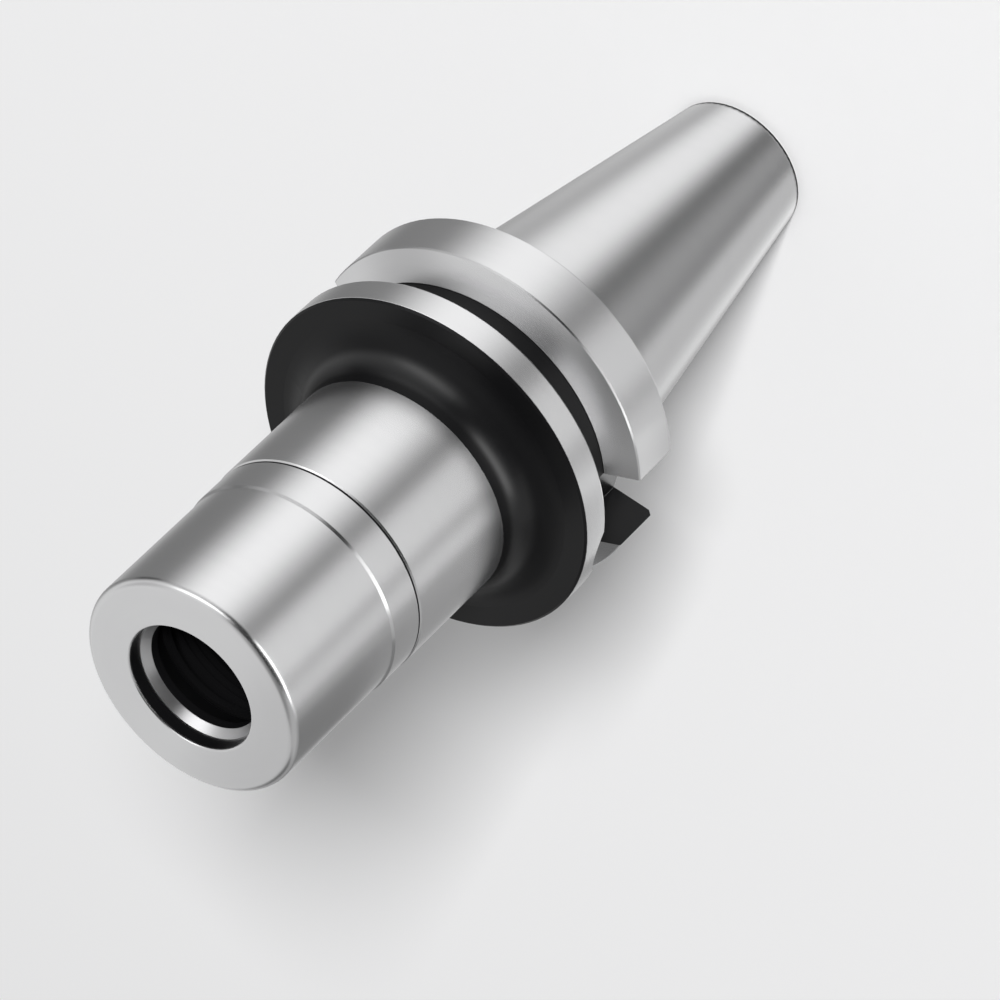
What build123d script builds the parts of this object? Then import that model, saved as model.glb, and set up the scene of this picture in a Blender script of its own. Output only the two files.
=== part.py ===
from build123d import *
import os
from math import radians, sin, tan

# Collet chuck holder for a machining centre: a hollow steel body with a steep 7/24 spindle taper,
# a grooved gripper flange with two drive keyways and a slim nose that ends in a collet pocket,
# and the round clamping nut that screws over the nose, with its thrust ring and snap ring inside.
# Millimetres. The holder stands on the small end of its taper: the origin is the centre of that
# end face, +Z runs up the axis to the nut, and the drive keyways face +X and -X.

# Spindle taper, size 40
gauge_diameter = 44.45
taper_length = 65.4
taper_ratio = 7 / 24
taper_end_break = 0.6

# Flange, with heights taken from the gauge line
flange_diameter = 63.0
flange_rear = 2.0
flange_front = 27.0
flange_rear_break = 0.8
flange_front_break = 0.4
taper_relief_depth = 0.4
taper_relief_width = 1.4

# Gripper groove
groove_centre = 16.6
groove_width = 10.0
groove_root_diameter = 53.0
groove_angle = 60.0
groove_edge_break = 0.2

# Drive keyways, milled with a radial cutter of the keyway's own width
keyway_width = 16.1
keyway_floor = 22.6
keyway_end = 23.3

# Nose
nose_diameter = 40.8
nose_root_round = 7.0
nose_shoulder = 57.0
nose_shoulder_break = 0.5
nose_end = 72.0

# Nut thread, M32 x 1.5: the nose is plain at the thread's root here, and the nut at its major
# diameter, so the turns of both fit in the space between them
thread_diameter = 32.0
thread_depth = 0.92
thread_clearance = 0.05
nose_end_break = 0.4

# Collet pocket, shank bore and pull stud hole
pocket_mouth_diameter = 25.5
pocket_angle = 8.0
pocket_depth = 42.0
shank_bore_diameter = 17.5
shank_bore_floor = 40.0
coolant_bore_diameter = 9.0
drill_point_angle = 118.0
stud_pilot_diameter = 17.0
stud_pilot_depth = 6.0
stud_thread_diameter = 14.0
stud_thread_depth = 30.0

# Clamping nut
nut_diameter = 40.0
nut_ring_diameter = 40.5
nut_ring_width = 7.0
nut_step_width = 0.5
nut_face = 90.0
nut_face_break = 0.9
nut_rear_break = 0.5
nut_seat_gap = 0.05
nut_mouth_diameter = 23.2
nut_mouth_break = 0.35
nut_mouth_wall = 2.5
nut_thread_lead = 1.0
nut_land_width = 1.5

# Thrust ring, which turns inside the nut and presses the collet home
ring_diameter = 30.0
ring_length = 7.9
ring_running_clearance = 0.05
ring_end_play = 0.08
ring_bore_diameter = 20.6
ring_mouth_diameter = 22.7
ring_mouth_depth = 1.4
ring_bore_length = 1.6
ring_collet_angle = 60.0
ring_lip_diameter = 23.0
ring_lip_width = 1.2

# Snap ring of flat spring steel, which lies behind the thrust ring in a groove of the nut
snap_thickness = 1.2
snap_depth = 1.6
snap_groove_depth = 0.7
snap_gap_angle = 24.0
snap_clearance = 0.05


def above_gauge(height):
    """Height above the standing face of a point that is measured from the gauge line."""
    return taper_length + height


def nearest_corner(sketch, radius, height):
    """The corner of a half profile that lies nearest to a radius and a height."""
    return sketch.vertices().sort_by_distance((radius, height, 0))[0]


gauge_radius = gauge_diameter / 2
small_end_radius = gauge_radius - taper_length * taper_ratio / 2
flange_radius = flange_diameter / 2
groove_root_radius = groove_root_diameter / 2
nose_radius = nose_diameter / 2
thread_radius = thread_diameter / 2
flange_rear_height = above_gauge(flange_rear)
flange_front_height = above_gauge(flange_front)
groove_height = above_gauge(groove_centre)
shoulder_height = above_gauge(nose_shoulder)
nose_end_height = above_gauge(nose_end)
nut_face_height = above_gauge(nut_face)
nut_rear_height = shoulder_height + nut_seat_gap

# The groove's flanks lean half the included angle from the flange's faces
flank_run = (flange_radius - groove_root_radius) * tan(radians(groove_angle / 2))
groove_rear_height = groove_height - groove_width / 2
groove_front_height = groove_height + groove_width / 2
relief_radius = gauge_radius - taper_relief_depth
thread_root_radius = thread_radius - thread_depth - thread_clearance

os.makedirs("parts", exist_ok=True)

# Holder body: taper, flange and nose turned in one piece, then bored and slotted
with BuildPart() as holder_body:
    with BuildSketch(Plane.XZ) as outside:
        with BuildLine():
            Polyline(
                (0, 0),
                (small_end_radius, 0),
                (gauge_radius, taper_length),
                (relief_radius, flange_rear_height - taper_relief_width),
                (relief_radius, flange_rear_height),
                (flange_radius, flange_rear_height),
                (flange_radius, groove_rear_height),
                (groove_root_radius, groove_rear_height + flank_run),
                (groove_root_radius, groove_front_height - flank_run),
                (flange_radius, groove_front_height),
                (flange_radius, flange_front_height),
                (nose_radius, flange_front_height),
                (nose_radius, shoulder_height),
                (thread_root_radius, shoulder_height),
                (thread_root_radius, nose_end_height),
                (0, nose_end_height),
                close=True,
            )
        make_face()
        chamfer(nearest_corner(outside, small_end_radius, 0), taper_end_break)
        chamfer(nearest_corner(outside, flange_radius, flange_rear_height), flange_rear_break)
        chamfer(
            [
                nearest_corner(outside, flange_radius, groove_rear_height),
                nearest_corner(outside, flange_radius, groove_front_height),
            ],
            groove_edge_break,
        )
        chamfer(nearest_corner(outside, flange_radius, flange_front_height), flange_front_break)
        fillet(nearest_corner(outside, nose_radius, flange_front_height), nose_root_round)
        chamfer(nearest_corner(outside, nose_radius, shoulder_height), nose_shoulder_break)
        chamfer(nearest_corner(outside, thread_root_radius, nose_end_height), nose_end_break)
    revolve(axis=Axis.Z)

    pocket_mouth_radius = pocket_mouth_diameter / 2
    pocket_floor_height = nose_end_height - pocket_depth
    pocket_floor_radius = pocket_mouth_radius - pocket_depth * tan(radians(pocket_angle / 2))
    bore_radius = shank_bore_diameter / 2
    coolant_radius = coolant_bore_diameter / 2
    stud_radius = stud_thread_diameter / 2
    pilot_radius = stud_pilot_diameter / 2
    drill_slope = tan(radians(drill_point_angle / 2))
    with BuildSketch(Plane.XZ) as inside:
        with BuildLine():
            Polyline(
                (0, 0),
                (pilot_radius, 0),
                (pilot_radius, stud_pilot_depth),
                (stud_radius, stud_pilot_depth),
                (stud_radius, stud_thread_depth),
                (coolant_radius, stud_thread_depth + (stud_radius - coolant_radius) / drill_slope),
                (coolant_radius, shank_bore_floor - (bore_radius - coolant_radius) / drill_slope),
                (bore_radius, shank_bore_floor),
                (bore_radius, pocket_floor_height),
                (pocket_floor_radius, pocket_floor_height),
                (pocket_mouth_radius, nose_end_height),
                (0, nose_end_height),
                close=True,
            )
        make_face()
    revolve(axis=Axis.Z, mode=Mode.SUBTRACT)

    keyway_start = flange_rear_height - flange_rear
    cutter_height = above_gauge(keyway_end) - keyway_width / 2
    keyway_faces = [
        Plane(origin=(side * keyway_floor, 0, 0), x_dir=(0, side, 0), z_dir=(side, 0, 0))
        for side in (1, -1)
    ]
    with BuildSketch(*keyway_faces):
        with Locations((0, keyway_start)):
            Rectangle(keyway_width, cutter_height - keyway_start, align=(Align.CENTER, Align.MIN))
        with Locations((0, cutter_height)):
            Circle(keyway_width / 2)
    extrude(amount=flange_radius - keyway_floor + flange_rear, mode=Mode.SUBTRACT)

holder_body.part.label = "holder_body"
export_step(holder_body.part, "parts/holder_body.step")

# Clamping nut: a plain round sleeve with a slightly larger ring at its rear
nut_radius = nut_diameter / 2
nut_ring_radius = nut_ring_diameter / 2
nut_ring_top = nut_rear_height + nut_ring_width
nut_mouth_radius = nut_mouth_diameter / 2
nut_inner_face = nut_face_height - nut_mouth_wall
ring_seat_radius = ring_diameter / 2 + ring_running_clearance
ring_front_height = nut_inner_face - ring_end_play
ring_rear_height = ring_front_height - ring_length
lead_radius = thread_radius + nut_thread_lead
snap_groove_width = snap_thickness + 2 * snap_clearance
snap_centre_height = ring_rear_height - snap_groove_width / 2
land_rear_height = ring_rear_height - snap_groove_width - nut_land_width

with BuildPart() as clamping_nut:
    with BuildSketch(Plane.XZ) as sleeve:
        with BuildLine():
            Polyline(
                (lead_radius, nut_rear_height),
                (nut_ring_radius, nut_rear_height),
                (nut_ring_radius, nut_ring_top - nut_step_width),
                (nut_radius, nut_ring_top),
                (nut_radius, nut_face_height),
                (nut_mouth_radius, nut_face_height),
                (nut_mouth_radius, nut_inner_face),
                (ring_seat_radius, nut_inner_face),
                (ring_seat_radius, land_rear_height),
                (thread_radius, land_rear_height),
                (thread_radius, nut_rear_height + nut_thread_lead),
                close=True,
            )
        make_face()
        chamfer(nearest_corner(sleeve, nut_ring_radius, nut_rear_height), nut_rear_break)
        chamfer(nearest_corner(sleeve, nut_radius, nut_face_height), nut_face_break)
        chamfer(nearest_corner(sleeve, nut_mouth_radius, nut_face_height), nut_mouth_break)
        with Locations((ring_seat_radius, snap_centre_height)):
            Rectangle(2 * snap_groove_depth, snap_groove_width, mode=Mode.SUBTRACT)
    revolve(axis=Axis.Z)

clamping_nut.part.label = "clamping_nut"
export_step(clamping_nut.part, "parts/clamping_nut.step")

# Thrust ring: a cone in front that shows in the nut's mouth, the collet's cone behind it and the
# lip that draws the collet out when the nut is unscrewed
ring_radius = ring_diameter / 2
ring_bore_radius = ring_bore_diameter / 2
ring_mouth_radius = ring_mouth_diameter / 2
ring_lip_radius = ring_lip_diameter / 2
ring_throat_height = ring_front_height - ring_mouth_depth
ring_cone_height = ring_throat_height - ring_bore_length
ring_lip_height = ring_rear_height + ring_lip_width
ring_cone_length = ring_cone_height - ring_lip_height
ring_collet_radius = ring_bore_radius + ring_cone_length * tan(radians(ring_collet_angle / 2))

with BuildPart() as thrust_ring:
    with BuildSketch(Plane.XZ):
        with BuildLine():
            Polyline(
                (ring_lip_radius, ring_rear_height),
                (ring_radius, ring_rear_height),
                (ring_radius, ring_front_height),
                (ring_mouth_radius, ring_front_height),
                (ring_bore_radius, ring_throat_height),
                (ring_bore_radius, ring_cone_height),
                (ring_collet_radius, ring_lip_height),
                (ring_lip_radius, ring_lip_height),
                close=True,
            )
        make_face()
    revolve(axis=Axis.Z)

thrust_ring.part.label = "thrust_ring"
export_step(thrust_ring.part, "parts/thrust_ring.step")

# Snap ring: open on one side, so that it can be squeezed into the nut
snap_outer_radius = ring_seat_radius + snap_groove_depth - snap_clearance
with BuildPart() as snap_ring:
    with BuildSketch(Plane.XZ):
        with Locations((snap_outer_radius, snap_centre_height)):
            Rectangle(snap_depth, snap_thickness, align=(Align.MAX, Align.CENTER))
    revolve(axis=Axis.Z, revolution_arc=360 - snap_gap_angle)

snap_ring.part.label = "snap_ring"
export_step(snap_ring.part, "parts/snap_ring.step")
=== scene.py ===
# %% [markdown]
# # A collet chuck holder, dressed for the camera
# The CAD frame already holds the four pieces of the holder at their real size: the body with its
# taper, flange and nose, the clamping nut, and the thrust ring and snap ring inside the nut. This
# lesson adds what a camera sees: ground steel, black oxide, the threads, a studio and a lens.

# %% Load the frame and keep its box
from math import cos, pi, radians, sin

import bmesh
import bpy
from mathutils import Euler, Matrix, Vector


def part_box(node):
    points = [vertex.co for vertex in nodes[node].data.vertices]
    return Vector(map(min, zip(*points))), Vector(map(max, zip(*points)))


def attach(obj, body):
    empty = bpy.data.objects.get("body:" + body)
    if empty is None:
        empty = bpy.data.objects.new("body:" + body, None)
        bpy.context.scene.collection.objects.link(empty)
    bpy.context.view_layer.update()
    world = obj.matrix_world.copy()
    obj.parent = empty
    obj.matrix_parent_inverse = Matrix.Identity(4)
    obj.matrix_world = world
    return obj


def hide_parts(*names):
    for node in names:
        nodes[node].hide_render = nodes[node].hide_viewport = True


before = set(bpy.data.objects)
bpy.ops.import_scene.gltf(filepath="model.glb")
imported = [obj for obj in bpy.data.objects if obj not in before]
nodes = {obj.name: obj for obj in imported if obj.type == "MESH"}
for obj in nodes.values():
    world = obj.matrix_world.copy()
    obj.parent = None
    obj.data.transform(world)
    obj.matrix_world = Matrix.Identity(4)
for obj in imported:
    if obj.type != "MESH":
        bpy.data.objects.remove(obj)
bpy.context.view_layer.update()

# %% [markdown]
# ## Sizes
# Blender works in metres here, so one factor turns the drawing's millimetres into metres. Where the
# black oxide starts and stops can't be read from a node's box, so the finishes repeat a few of the
# drawing's sizes, as radii and as heights above the standing face. The rest is measured on the frame.

# %% Sizes
MM = 0.001

body_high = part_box("holder_body")[1]
nut_low, nut_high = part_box("clamping_nut")
ring_low, ring_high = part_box("thrust_ring")

gauge_height = 65.4 * MM
groove_height = gauge_height + 16.6 * MM
groove_root_radius = 26.5 * MM
keyway_end = gauge_height + 23.3 * MM
keyway_half_width = 8.05 * MM
keyway_floor = 22.6 * MM
flange_front = gauge_height + 27.0 * MM
flare_end = gauge_height + 34.0 * MM
seam_height = gauge_height + 57.0 * MM
nose_end_height = gauge_height + 72.0 * MM
print("body height", round(body_high.z / MM, 2), "nut face", round(nut_high.z / MM, 2))

# %% [markdown]
# ## Shader maths as plain expressions
# A finish is a sum of small facts: black here, a little rougher there. Wiring Math nodes by hand hides
# that, so this small class wraps a socket and lets `1 - mask * 0.3` add the nodes itself.

# %% Wrap a socket
class Wire:
    """An output socket that can be used in a sum, and that adds the node for it."""

    def __init__(self, tree, socket):
        self.tree = tree
        self.socket = socket

    def node(self, kind, inputs, output=0, **settings):
        """Adds any node: its settings first, then the values or links of its sockets."""
        made = self.tree.nodes.new(kind)
        for name, value in settings.items():
            setattr(made, name, value)
        for name, value in inputs.items():
            if isinstance(value, Wire):
                self.tree.links.new(value.socket, made.inputs[name])
            else:
                made.inputs[name].default_value = value
        return Wire(self.tree, made.outputs[output])

    def math(self, operation, other=0.0, flip=False):
        """A Math node on this wire and another value, the other way round when flipped."""
        pair = {0: other, 1: self} if flip else {0: self, 1: other}
        return self.node("ShaderNodeMath", pair, operation=operation)

    def __add__(self, other):
        return self.math("ADD", other)

    def __sub__(self, other):
        return self.math("SUBTRACT", other)

    def __rsub__(self, other):
        return self.math("SUBTRACT", other, flip=True)

    def __mul__(self, other):
        return self.math("MULTIPLY", other)

    __radd__ = __add__
    __rmul__ = __mul__

    def ramp(self, low, high):
        """0 below low, 1 above high, and a smooth rise between them."""
        values = {"Value": self, "From Min": low, "From Max": high}
        return self.node("ShaderNodeMapRange", values, interpolation_type="SMOOTHSTEP")

    def between(self, low, high, fade):
        """1 between low and high, fading out on both sides of each."""
        return self.ramp(low - fade, low + fade) * (1 - self.ramp(high - fade, high + fade))

    def split(self):
        """The x, y and z of a place, a wire for each."""
        made = self.node("ShaderNodeSeparateXYZ", {"Vector": self})
        return [Wire(self.tree, made.socket.node.outputs[axis]) for axis in "XYZ"]


print("shader sums are ready")

# %% [markdown]
# ## Mixing colours and masks
# A Math node would turn a colour grey, so colours go through a Mix node. That node keeps a set of
# sockets for each kind of data, and the numbers here are those of its colour sockets. Masks are joined
# by taking the largest of them, which keeps the result at 1 where two of them overlap.

# %% Mix colours and masks
MIX_FACTOR, MIX_LOW, MIX_HIGH, MIX_RESULT = 0, 6, 7, 2


def blend(low, high, factor):
    """A colour between two colours, each given as numbers or as a wire."""
    sockets = {MIX_FACTOR: factor, MIX_LOW: low, MIX_HIGH: high}
    return factor.node("ShaderNodeMix", sockets, output=MIX_RESULT, data_type="RGBA")


def any_of(mask, *others):
    """1 where any of several masks is 1."""
    for other in others:
        mask = mask.math("MAXIMUM", other)
    return mask


print("colours and masks can be mixed")

# %% [markdown]
# ## Starting a material
# Every finish here reads Object coordinates. A node's object sits at the origin, so they are the
# drawing's own coordinates in metres, and the distance from the Z axis is the turning radius.

# %% Start a material
def new_material(name):
    """A material, its Principled shader, and a wire that holds the place on the object."""
    material = bpy.data.materials.new(name)
    material.use_nodes = True
    tree = material.node_tree
    shader = tree.nodes["Principled BSDF"]
    place = Wire(tree, tree.nodes.new("ShaderNodeTexCoord").outputs["Object"])
    return material, shader, place


def radius_of(place):
    """Distance from the spindle axis."""
    flat = place.node("ShaderNodeVectorMath", {0: place, 1: (1, 1, 0)}, operation="MULTIPLY")
    return place.node("ShaderNodeVectorMath", {0: flat}, output="Value", operation="LENGTH")


def feed(shader, **values):
    """Sets or links a shader's sockets; an underscore in a name stands for a space."""
    for name, value in values.items():
        socket = shader.inputs[name.replace("_", " ")]
        if isinstance(value, Wire):
            value.tree.links.new(value.socket, socket)
        else:
            socket.default_value = value


print("materials can start")

# %% [markdown]
# ## Lines round the axis
# A grinding wheel leaves fine lines that run round the piece. An image could carry them, but it would
# need a flat map of every piece. A noise texture needs none when it is read by angle, radius and
# height: the angle counts for little and the other two for a lot, so each speck becomes a line.

# %% Turned noise
def turned_noise(place, scale, along):
    """Noise drawn out round the axis, from its scale across the lines and along them."""
    x, y, z = place.split()
    angle = x.node("ShaderNodeMath", {0: y, 1: x}, operation="ARCTAN2")
    stretch = {"X": angle * along, "Y": radius_of(place) * scale, "Z": z * scale}
    drawn_out = x.node("ShaderNodeCombineXYZ", stretch)
    inputs = {"Vector": drawn_out, "Scale": 1.0, "Detail": 3.0, "Roughness": 0.6}
    return x.node("ShaderNodeTexNoise", inputs, output="Fac")


print("noise can be turned")

# %% [markdown]
# ## Ground steel
# The nut, the nose, the collars and the taper are ground: bright, even, and a little softer along the
# axis than round it, which is what the anisotropic setting says. Single grinding lines are too fine to
# model, so they only vary the roughness and a very faint bump.

# %% Ground steel
STEEL = (0.61, 0.61, 0.615, 1.0)
STEEL_SHADE = (0.60, 0.60, 0.606, 1.0)
GROUND_ROUGHNESS = 0.26
FINE_LINES = {"scale": 5200.0, "along": 6.0}
BROAD_LINES = {"scale": 700.0, "along": 2.0}
SHADE_RAMP = (0.25, 0.7)
FINE_SHARE = 0.03
BROAD_SHARE = 0.01
BUMP = {"Strength": 0.02, "Distance": 0.02 * MM}


def grind(shader, place, roughness=GROUND_ROUGHNESS, shades=(STEEL_SHADE, STEEL)):
    """Makes a shader ground steel, and returns its colour and roughness for a mask to change."""
    fine = turned_noise(place, **FINE_LINES)
    broad = turned_noise(place, **BROAD_LINES)
    dark, light = shades
    colour = blend(dark, light, broad.ramp(*SHADE_RAMP))
    rough = (fine - 0.5) * FINE_SHARE + (broad - 0.5) * BROAD_SHARE + roughness
    bump = fine.node("ShaderNodeBump", {"Height": fine} | BUMP)
    feed(shader, Base_Color=colour, Roughness=rough, Metallic=1.0, Normal=bump)
    feed(shader, Anisotropic=0.6, Anisotropic_Rotation=0.25)
    return colour, rough


print("ground steel is ready")

# %% [markdown]
# ## Black oxide
# Hardened steel is blackened in a hot bath, and grinding takes the black off again where a face has to
# be true. A piece could get two materials for this, face by face, but then each border would have to
# be an edge of the mesh. A mask in one material puts the border anywhere, so black and bright steel
# share a shader here. Black oxide is no bare metal, so the mask takes away the metallic look as well.
# Borders that a tool left sharp are a hair wide, and those that nobody sees closely are a bit softer.
# The same black also serves as painted shade in the seam behind the nut and deep in the thrust ring.

# %% Black oxide
BLACK = (0.005, 0.005, 0.0054, 1.0)
OXIDE_ROUGHNESS = 0.3
OXIDE_GLOSS = 0.12
hair = 0.02 * MM
soft = 0.1 * MM


def blacken(shader, steel, rough, mask, black_roughness=OXIDE_ROUGHNESS):
    """Turns steel black where a mask is 1: black oxide, and painted shade in the seam and deep in the
    thrust ring.
    """
    feed(
        shader,
        Base_Color=blend(steel, BLACK, mask),
        Metallic=1 - mask,
        Roughness=rough * (1 - mask) + mask * black_roughness,
        Specular_IOR_Level=OXIDE_GLOSS,
    )


print("steel can be blackened")

# %% [markdown]
# ## The nut's steel
# The nut is ground outside and black inside. Its mouth has a narrow break that is polished with the
# front face, so the black starts just behind that break and reaches out to the wall of the bore.

# %% Nut steel
mouth_break_rear = nut_high.z - 0.36 * MM
nut_inside_radius = 16.4 * MM

nut_steel, shader, place = new_material("ground_nut_steel")
steel, rough = grind(shader, place)
behind_face = 1 - place.split()[2].ramp(mouth_break_rear - 2 * hair, mouth_break_rear)
within_wall = 1 - radius_of(place).ramp(nut_inside_radius, nut_inside_radius + soft)
blacken(shader, steel, rough, behind_face * within_wall)
print("nut is black within", round(nut_inside_radius / MM, 2), "mm of its axis")

# %% [markdown]
# ## The body: what is turned and black
# The body was blackened whole and then ground where it has to be true. So the black stays in the
# bottom of the gripper groove, on the flange's front face with its flare into the nose, in the bores
# and on the nose's end. The thin black band in the seam behind the nut is painted shade, for the
# narrow gap under the nut's rear edge. Each of these places is turned, so a radius and a height are
# enough to find it.

# %% Black by radius and height
flange_break = 0.36 * MM
groove_black_half = 2.2 * MM
groove_black_low = groove_root_radius - 0.4 * MM
groove_black_high = groove_root_radius + 0.6 * MM
pocket_radius = 12.8 * MM
foot_break = 0.5 * MM
nose_end_rear = nose_end_height - 0.5 * MM
seam_width = 0.28 * MM

body_steel, shader, place = new_material("ground_body_steel")
steel, rough = grind(shader, place)
x, y, z = place.split()
radius = radius_of(place)

front_face = z.between(flange_front - flange_break, flare_end, hair)
at_groove = z.between(groove_height - groove_black_half, groove_height + groove_black_half, hair)
groove = at_groove * radius.between(groove_black_low, groove_black_high, hair)
bores = (1 - radius.ramp(pocket_radius, pocket_radius + soft)) * z.ramp(hair, foot_break)
nose_end = z.ramp(nose_end_rear, nose_end_rear + soft / 2)
# The seam's black is painted shade for the narrow gap under the nut's rear edge, not oxide.
seam_shade = z.between(seam_height - seam_width, seam_height, hair)
print("black places that are turned: front face, groove, bores, nose end, seam")

# %% [markdown]
# ## The body: the keyways
# A keyway is milled from the side with a cutter as wide as the slot, so it ends in a half round. A
# place is in the slot when it is nearer to the slot's middle line than half its width, which one
# distance tells, round end included. The walls are black and the floor is a dull grey, so a thin layer
# at the floor's depth gets a mask of its own.

# %% Black and grey in the keyways
slot_edge = keyway_half_width + hair / 2
floor_top = keyway_floor + hair / 2
floor_soft = 0.004 * MM

past_round = (z - (keyway_end - keyway_half_width)).math("MAXIMUM", 0.0)
from_slot_line = (y * y + past_round * past_round).math("SQRT")
in_slot = 1 - from_slot_line.ramp(slot_edge, slot_edge + hair)
across = x.math("ABSOLUTE")
keyway_floors = in_slot * across.between(keyway_floor - hair, floor_top, floor_soft)
keyway_walls = in_slot * across.ramp(floor_top, floor_top + hair)
print("keyways are", round(2 * keyway_half_width / MM, 2), "mm wide")

# %% [markdown]
# ## The body's material
# All the masks meet in one shader. The flare between the flange and the nose still has oil on it, as a
# new holder does, and a thin coat over the black gives it the soft sheen that follows its curve.

# %% Body material
FLOOR_GREY = (0.3, 0.3, 0.303, 1.0)
oil_low = flange_front + 1.8 * MM
oil_high = flange_front + 5.0 * MM
oil_fade = 0.6 * MM
oil_weight = 0.5

# The black mask holds black oxide and, in the seam, painted shade.
black = any_of(front_face, groove, bores, keyway_walls, nose_end, seam_shade)
blacken(shader, blend(steel, FLOOR_GREY, keyway_floors), rough, black)
oiled = z.between(oil_low, oil_high, oil_fade) * black
feed(shader, Coat_Weight=oiled * oil_weight, Coat_Roughness=0.3)
print("black oxide is left in the recesses")

# %% [markdown]
# ## Thrust ring and snap ring
# The thrust ring in the nut's mouth is hardened and lapped, which leaves it a little duller than the
# ground nut. It is bright down to the cone that holds the collet. Below the cone it is painted black,
# as painted shade for the deep inside of the mouth. The snap ring behind it is bent from darker, oiled
# spring steel.

# %% Ring materials
SPRING_STEEL = (0.23, 0.23, 0.24, 1.0)
SPRING_SHADE = (0.21, 0.21, 0.22, 1.0)
ring_bright_rear = ring_high.z - 1.42 * MM

ring_steel, shader, place = new_material("polished_ring_steel")
steel, rough = grind(shader, place, roughness=0.38)
# The black below the cone is painted shade for the deep inside of the mouth, not a finish of the ring.
painted_deep_shade = 1 - place.split()[2].ramp(ring_bright_rear - 4 * hair, ring_bright_rear)
blacken(shader, steel, rough, painted_deep_shade, black_roughness=rough)

spring_steel, shader, place = new_material("oiled_spring_steel")
grind(shader, place, roughness=0.35, shades=(SPRING_SHADE, SPRING_STEEL))

finishes = {
    "holder_body": body_steel,
    "thrust_ring": ring_steel,
    "snap_ring": spring_steel,
}
for name, material in finishes.items():
    for slot in nodes[name].material_slots:
        slot.material = material
print("finishes:", {name: material.name for name, material in finishes.items()})

# %% [markdown]
# ## Turning a piece on the lathe
# The nut is turned from bar, so its mesh is made as the lathe makes it: a half section is spun once
# round the axis. Edges are broken afterwards, ring by ring, because a round of many narrow faces is
# what catches the light.

# %% Spin a section
near = 0.01 * MM
same_point = 0.002 * MM


def about_axis(angle, steps):
    """The settings of a spin about the spindle axis."""
    return {"cent": (0, 0, 0), "axis": (0, 0, 1), "angle": angle, "steps": steps}


def spun(corners, steps=192):
    """A closed half section, as radius and height in millimetres, spun once round the axis."""
    shape = bmesh.new()
    points = [shape.verts.new((radius * MM, 0, height * MM)) for radius, height in corners]
    sides = [shape.edges.new(pair) for pair in zip(points, points[1:] + points[:1])]
    bmesh.ops.spin(shape, geom=points + sides, use_merge=True, **about_axis(2 * pi, steps))
    bmesh.ops.remove_doubles(shape, verts=shape.verts, dist=same_point)
    bmesh.ops.recalc_face_normals(shape, faces=shape.faces)
    return shape


def break_ring(shape, radius, height, size, segments):
    """Breaks the ring edge that runs at one radius and height, in millimetres."""
    def on_ring(vert):
        at_radius = abs(vert.co.xy.length - radius * MM) < near
        return at_radius and abs(vert.co.z - height * MM) < near

    ring = [edge for edge in shape.edges if all(on_ring(vert) for vert in edge.verts)]
    settings = {"affect": "EDGES", "segments": segments, "profile": 0.5, "material": -1}
    bmesh.ops.bevel(shape, geom=ring, offset=size * MM, **settings)


print("lathe is ready")

# %% [markdown]
# ## From a shape to a piece
# A bmesh is only a sketch until it becomes an object. Smooth shading hides the facets of a turned wall,
# edges sharper than 20 degrees stay sharp, and weighted normals keep flat faces flat right up to their
# rounds. A piece then says which body it rides on and which kind of steel it is.

# %% Finish a piece
crease = radians(20)


def mesh_of(name, shape, material):
    """A mesh with one material, from a bmesh that is used up."""
    mesh = bpy.data.meshes.new(name)
    shape.to_mesh(mesh)
    shape.free()
    mesh.materials.append(material)
    return mesh


def add_object(name, data):
    """An object in the scene, from a mesh, a camera or a lamp."""
    made = bpy.data.objects.new(name, data)
    bpy.context.scene.collection.objects.link(made)
    return made


def finished(name, shape, material, body):
    """Turns a bmesh into a smooth piece that rides on a body."""
    mesh = mesh_of(name, shape, material)
    mesh.shade_smooth()
    mesh.set_sharp_from_angle(angle=crease)
    piece = add_object(name, mesh)
    piece.modifiers.new("flat_faces", "WEIGHTED_NORMAL").keep_sharp = True
    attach(piece, body)
    return piece


print("pieces can be finished")

# %% [markdown]
# ## The clamping nut with its polished edges
# The drawing's nut has plain 45 degree breaks. On the real one the front edge is a polished round, the
# rear ring ends in a fine step and the mouth has a narrow bright break, so this nut keeps the drawing's
# section and gets finer edges. It stands in for the drawing's nut, which is taken out of the scene.

# %% Clamping nut
nut_rear = nut_low.z / MM
nut_face = nut_high.z / MM
nut_radius = 20.0
nut_ring_radius = 20.25
nut_ring_length = 7.0
nut_ring_top = nut_rear + nut_ring_length
nut_step = 0.5
mouth_radius = 11.6
mouth_wall = 2.5
seat_radius = 15.05
snap_groove_depth = 0.7
snap_groove_width = 1.3
snap_groove_radius = seat_radius + snap_groove_depth
snap_groove_front = ring_low.z / MM
snap_groove_rear = snap_groove_front - snap_groove_width
land_length = 1.5
land_rear = snap_groove_rear - land_length
bore_radius = 16.0
bore_lead = 1.0
front_round = 1.4
mouth_break = 0.35
rear_break = 0.2

nut_section = (
    (bore_radius + bore_lead, nut_rear),
    (nut_ring_radius, nut_rear),
    (nut_ring_radius, nut_ring_top - nut_step),
    (nut_radius, nut_ring_top),
    (nut_radius, nut_face),
    (mouth_radius, nut_face),
    (mouth_radius, nut_face - mouth_wall),
    (seat_radius, nut_face - mouth_wall),
    (seat_radius, snap_groove_front),
    (snap_groove_radius, snap_groove_front),
    (snap_groove_radius, snap_groove_rear),
    (seat_radius, snap_groove_rear),
    (seat_radius, land_rear),
    (bore_radius, land_rear),
    (bore_radius, nut_rear + bore_lead),
)
shape = spun(nut_section)
break_ring(shape, nut_radius, nut_face, front_round, segments=10)
break_ring(shape, mouth_radius, nut_face, mouth_break, segments=3)
break_ring(shape, nut_ring_radius, nut_rear, rear_break, segments=3)
nut = finished("nut_sleeve", shape, nut_steel, "nut")
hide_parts("clamping_nut")
print("nut has", len(nut.data.polygons), "faces")

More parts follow.
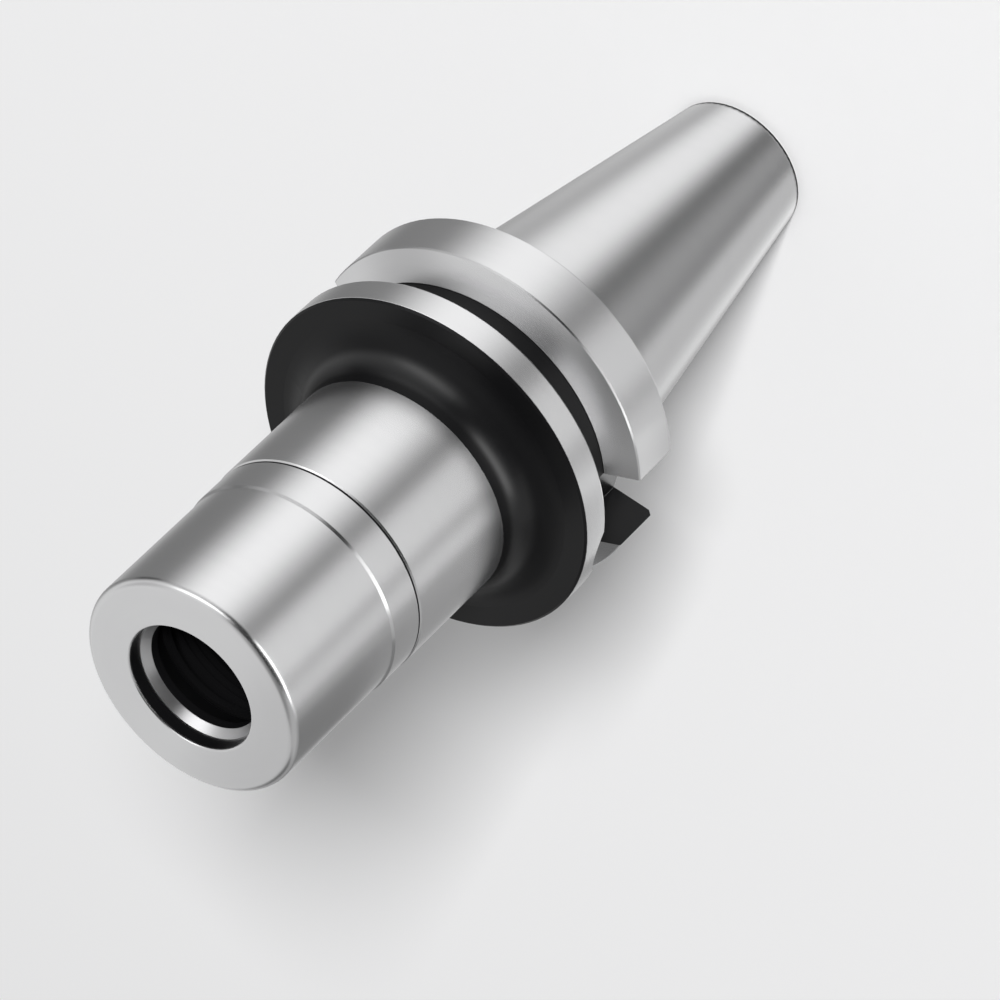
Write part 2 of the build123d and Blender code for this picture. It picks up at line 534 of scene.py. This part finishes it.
# %% [markdown]
# ## The thread
# A fine thread of 32 mm with a pitch of 1.5 mm holds the nut. The drawing leaves its turns out, so each
# part gets one ridge, wound as a right-hand helix. A screw modifier could do it too, but a spin that
# climbs as it turns lets the ends fade out, as a real thread runs out. The ridge of the nut runs half a
# pitch beside the ridge of the nose. The nut climbs one pitch in each turn, so they stay clear of each
# other all the way.

# %% Wind a ridge
pitch = 1.5
fade_turns = 1 / 3


def wound_ridge(wall, crest, base_half, crest_half, start, turns, steps_per_turn=72):
    """A ridge on a round wall, wound upwards from a height and faded out at both ends."""
    shape = bmesh.new()
    section = ((wall, -base_half), (crest, -crest_half), (crest, crest_half), (wall, base_half))
    points = [shape.verts.new((radius * MM, 0, (start + rise) * MM)) for radius, rise in section]
    face = shape.faces.new(points)
    climb = Vector((0, 0, pitch / steps_per_turn * MM))
    winding = about_axis(2 * pi * turns, steps_per_turn * turns)
    bmesh.ops.spin(shape, geom=[face] + list(face.edges) + points, dvec=climb, **winding)
    for vert in shape.verts:
        radius = vert.co.xy.length
        wound = (vert.co.z / MM - start) / pitch
        fade = max(0.0, min(1.0, wound / fade_turns, (turns - wound) / fade_turns))
        faded = wall * MM + (radius - wall * MM) * fade
        vert.co.x *= faded / radius
        vert.co.y *= faded / radius
    bmesh.ops.recalc_face_normals(shape, faces=shape.faces)
    return shape


print("a ridge climbs", pitch, "mm in each turn")

# %% [markdown]
# ## Ridges on the nose and in the nut
# Each ridge starts a little inside its wall, so no light gets between them. The nose's ridge is bright,
# because it is cut after blackening, and the nut's ridge is as black as the bore around it.

# %% Thread ridges
nose_root = 15.03
nose_crest = 15.94
nut_root = 16.0
nut_crest = 15.12
sunk = 0.15
thread_start = 125.5
nose_ridge = {"base_half": 0.60, "crest_half": 0.085, "turns": 7}
nut_ridge = {"base_half": 0.68, "crest_half": 0.16, "turns": 11}

shape = wound_ridge(nose_root - sunk, nose_crest, start=thread_start, **nose_ridge)
nose_thread = finished("nose_thread", shape, body_steel, "holder")
shape = wound_ridge(nut_root + sunk, nut_crest, start=thread_start - pitch / 2, **nut_ridge)
nut_thread = finished("nut_thread", shape, nut_steel, "nut")
print("thread ridges have", len(nose_thread.data.polygons), "and", len(nut_thread.data.polygons), "faces")

# %% [markdown]
# ## Camera
# The photograph was taken with a long lens from above, and it is turned so that the nut points to the
# lower left. The holder stands here, so the camera makes the turn instead: it rolls about its own
# line of sight. Its clock is its azimuth round the holder, which the studio is measured from.

# %% Camera
camera_place = Vector((-299.1, -800.2, 754.0)) * MM
camera_aim = Vector((-11.87, 4.24, 86.07)) * MM
camera_roll = radians(-134.26)
camera_clock = -110.5

camera_data = bpy.data.cameras.new("photo_camera")
camera_data.sensor_width = 36.0
camera_data.lens = 243.05
camera_data.clip_start, camera_data.clip_end = 0.05, 20.0
camera = add_object("photo_camera", camera_data)
bpy.context.scene.camera = camera

sight = camera_aim - camera_place
camera.rotation_mode = "QUATERNION"
camera.location = camera_place
camera.rotation_quaternion = sight.to_track_quat("-Z", "Y") @ Euler((0, 0, camera_roll)).to_quaternion()
print("camera is", round(sight.length, 3), "m from the middle of the holder")

# %% [markdown]
# ## Floor
# A plain pale floor carries the soft shadow. It is hidden from glossy rays, because the steel should
# mirror the softboxes and flags of a studio and not a white tabletop: turned steel lives from the
# dark and bright bands that run along it. It lies a hair below the holder's standing face, so the two
# never flicker through each other.

# %% Floor
FLOOR_COLOUR = (0.84, 0.84, 0.845, 1.0)
floor_half = 4.0
floor_gap = 0.02 * MM

floor_paint, shader, _ = new_material("pale_floor")
feed(shader, Base_Color=FLOOR_COLOUR, Roughness=0.9, Specular_IOR_Level=0.0)
shape = bmesh.new()
bmesh.ops.create_grid(shape, x_segments=1, y_segments=1, size=floor_half)
floor = add_object("floor", mesh_of("floor", shape, floor_paint))
floor.location.z = -floor_gap
floor.visible_glossy = False
print("floor is down")

# %% [markdown]
# ## Where a mirrored ray looks
# The studio isn't built from lamps. It is painted on the world, as brightness by direction, which
# renders with little noise and is easy to set: one number moves a band on the steel. Two angles name a
# direction. The azimuth is in degrees from the camera's own, positive to the left of the picture, and
# the elevation is in degrees above the horizon.

# %% Directions
DEGREES = 180 / pi

world = bpy.data.worlds.new("studio_world")
bpy.context.scene.world = world
world.use_nodes = True
tree = world.node_tree
sky = Wire(tree, tree.nodes.new("ShaderNodeTexCoord").outputs["Generated"])


def reach(clock):
    """How far a ray goes in a level direction, for each metre that it runs."""
    level = (cos(clock), sin(clock), 0)
    return sky.node("ShaderNodeVectorMath", {0: sky, 1: level}, "Value", operation="DOT_PRODUCT")


ahead = reach(radians(camera_clock))
aside = reach(radians(camera_clock + 90))
azimuth = ahead.node("ShaderNodeMath", {0: aside, 1: ahead}, operation="ARCTAN2") * DEGREES
height = sky.split()[2]
elevation = height.math("ARCSINE") * DEGREES
print("directions are measured from azimuth", camera_clock)

# %% [markdown]
# ## Softboxes beside the holder
# A round bar seen from above mirrors what stands beside it and lower down, as bands along its length,
# so each softbox here is tall and is told by azimuth alone. The nut, the nose and the flange look at
# one ring of boxes. The taper leans, looks steeper down and mirrors a ring of its own.

# %% Softboxes beside the holder
# Middle azimuth, half width, soft edge, brightness.
BAR_BOXES = (
    (44, 7, 48, 1.22),
    (-33, 12, 24, 0.80),
    (-74, 3, 16, 0.60),
    (-138, 40, 22, 0.16),
    (174, 10, 28, 0.34),
)
TAPER_BOXES = (
    (57, 9, 48, 1.12),
    (107, 5, 40, 0.5),
    (178, 20, 50, 0.9),
    (-127, 43, 20, 0.60),
    (-178, 16, 20, 0.20),
    (-37, 4, 26, 0.17),
)
BAR_BASE = 0.28
TAPER_BASE = 0.16


def sector(middle, half_width, soft_edge):
    """1 within half a width of an azimuth and 0 past its soft edge."""
    turn = {0: azimuth - middle, 1: 180.0, 2: -180.0}
    off = azimuth.node("ShaderNodeMath", turn, operation="WRAP").math("ABSOLUTE")
    return 1 - off.ramp(half_width, half_width + soft_edge)


def ring_of_boxes(boxes, base):
    """The light of a ring of tall softboxes in every azimuth."""
    total = azimuth * 0 + base
    for middle, half_width, soft_edge, brightness in boxes:
        total = total + sector(middle, half_width, soft_edge) * brightness
    return total


bars = ring_of_boxes(BAR_BOXES, BAR_BASE)
tapers = ring_of_boxes(TAPER_BOXES, TAPER_BASE)
print("rings of", len(BAR_BOXES), "and", len(TAPER_BOXES), "softboxes")

# %% [markdown]
# ## Rings, ceiling and nadir
# The two rings meet at the steepness between the taper's mirror and the nut's. Straight down is plain,
# and so is everything above the horizon, which the faces that point up and the flange's slopes see.
# Each border is a ramp over the height of the ray's direction: -1 is straight down, 0 the horizon.

# %% Join the rings
UPPER_LIGHT = 0.62
NADIR_LIGHT = 0.6
STEEP_RAMP = (-0.73, -0.665)
HORIZON_RAMP = (-0.10, 0.10)
NADIR_RAMP = (-0.97, -0.90)

steep = 1 - height.ramp(*STEEP_RAMP)
above = height.ramp(*HORIZON_RAMP)
nadir = 1 - height.ramp(*NADIR_RAMP)
below = (bars * (1 - steep) + tapers * steep) * (1 - nadir) + nadir * NADIR_LIGHT
studio = below * (1 - above) + above * UPPER_LIGHT
print("plain light above", UPPER_LIGHT, "and straight below", NADIR_LIGHT)

# %% [markdown]
# ## Windows and flags above
# The light from above isn't even: windows brighten a part of it, and flags, which are black cloths,
# take some away. They shape the groove's flanks, the flare and the round of the nut, so each has an
# elevation too. A flag is a window with a brightness below zero.

# %% Windows and flags
# Middle azimuth, half width, soft edge, low and high elevation, fade, brightness.
UPPER_BOXES = (
    (115, 62, 30, 0, 90, 20, 0.34),
    (-28, 28, 16, 19, 62, 7, -0.58),
    (8, 12, 8, -6, 62, 7, -0.56),
    (62, 42, 18, -20, 13, 4, -0.35),
    (-80, 50, 24, 48, 84, 8, -0.30),
    (122, 14, 14, 28, 50, 8, -0.30),
    (-146, 12, 14, 6, 28, 8, -0.48),
    (50, 14, 26, 29, 42, 7, 3.2),
    (-40, 20, 14, -5, 10, 4, 4.5),
)
DARKEST = 0.03

for middle, half_width, soft_edge, low, high, fade, brightness in UPPER_BOXES:
    window = sector(middle, half_width, soft_edge) * elevation.between(low, high, fade)
    studio = studio + window * brightness
studio = studio.math("MAXIMUM", DARKEST)
print(len(UPPER_BOXES), "windows and flags")

# %% [markdown]
# ## What each kind of ray sees
# Only glossy rays see the studio. All other rays meet one plain grey, so the bands don't tint the floor
# and the shadow stays clean.

# %% World
ROOM_LIGHT = 0.38

glossy = Wire(tree, tree.nodes.new("ShaderNodeLightPath").outputs["Is Glossy Ray"])
backdrop = tree.nodes["Background"]
backdrop.inputs["Color"].default_value = (1.0, 1.0, 1.0, 1.0)
tree.links.new((studio * glossy + (1 - glossy) * ROOM_LIGHT).socket, backdrop.inputs["Strength"])
print("room light is", ROOM_LIGHT)

# %% [markdown]
# ## Three cards close to the holder
# A photographer also holds small cards next to a piece, to lift or darken one spot. Light painted on
# the world is endlessly far away and can't do that, so the cards are real surfaces that shine by
# themselves. All three are on the right of the picture. A white one lies low and lifts the collars. A
# grey one stands above the flange and darkens the groove's flank and the side of the nut. A paler one
# stands high behind the nut and takes a little light off its face.

# %% Close cards
# Name, two corners as radius and height in millimetres, first and last azimuth, brightness.
CLOSE_CARDS = (
    ("white_card", (72, 30), (99, 30), -119, -66, 1.15),
    ("grey_card", (62, 98), (62, 136), -140, -84, 0.27),
    ("shade_card", (60, 184), (60, 228), -173, -118, 0.75),
)


def close_card(name, low_corner, high_corner, from_azimuth, to_azimuth, brightness):
    """A shining card that is bent round the axis and seen by reflections alone."""
    shape = bmesh.new()
    start = radians(camera_clock + from_azimuth)
    ends = []
    for radius, rise in (low_corner, high_corner):
        ends.append(shape.verts.new((radius * MM * cos(start), radius * MM * sin(start), rise * MM)))
    side = shape.edges.new(ends)
    bend = about_axis(radians(to_azimuth - from_azimuth), steps=16)
    bmesh.ops.spin(shape, geom=ends + [side], **bend)
    paper, shader, _ = new_material(name + "_paper")
    feed(shader, Base_Color=(0, 0, 0, 1), Specular_IOR_Level=0.0)
    feed(shader, Emission_Color=(1, 1, 1, 1), Emission_Strength=brightness)
    card = add_object(name, mesh_of(name, shape, paper))
    card.visible_camera = card.visible_diffuse = card.visible_shadow = False


for card in CLOSE_CARDS:
    close_card(*card)
print(len(CLOSE_CARDS), "cards are up")

# %% [markdown]
# ## The lamp that casts the shadow
# One square softbox stands a little to the left of the camera, as the picture shows it. So the shadow
# falls behind the holder and comes out along its lower right side. The lamp is kept out of
# reflections, where the painted studio stands in for it.

# %% Lamp
lamp_aside = 7
lamp_clock = radians(camera_clock + lamp_aside)
lamp_elevation = radians(36.5)
lamp_distance = 4.0

lamp_data = bpy.data.lights.new("shadow_softbox", "AREA")
lamp_data.size = 0.6
lamp_data.energy = 176.0
lamp = add_object("shadow_softbox", lamp_data)
level = Vector((cos(lamp_clock), sin(lamp_clock), 0)) * cos(lamp_elevation)
towards = level + Vector((0, 0, sin(lamp_elevation)))
lamp.location = Vector((0, 0, body_high.z / 2)) + towards * lamp_distance
lamp.rotation_mode = "QUATERNION"
lamp.rotation_quaternion = (-towards).to_track_quat("-Z", "Y")
lamp.visible_glossy = False
print("lamp is on")

# %% [markdown]
# ## Close
# The Standard view keeps the greys of the steel as they were set, where a film-like view would bend
# them.

# %% Close
bpy.context.scene.view_settings.view_transform = "Standard"
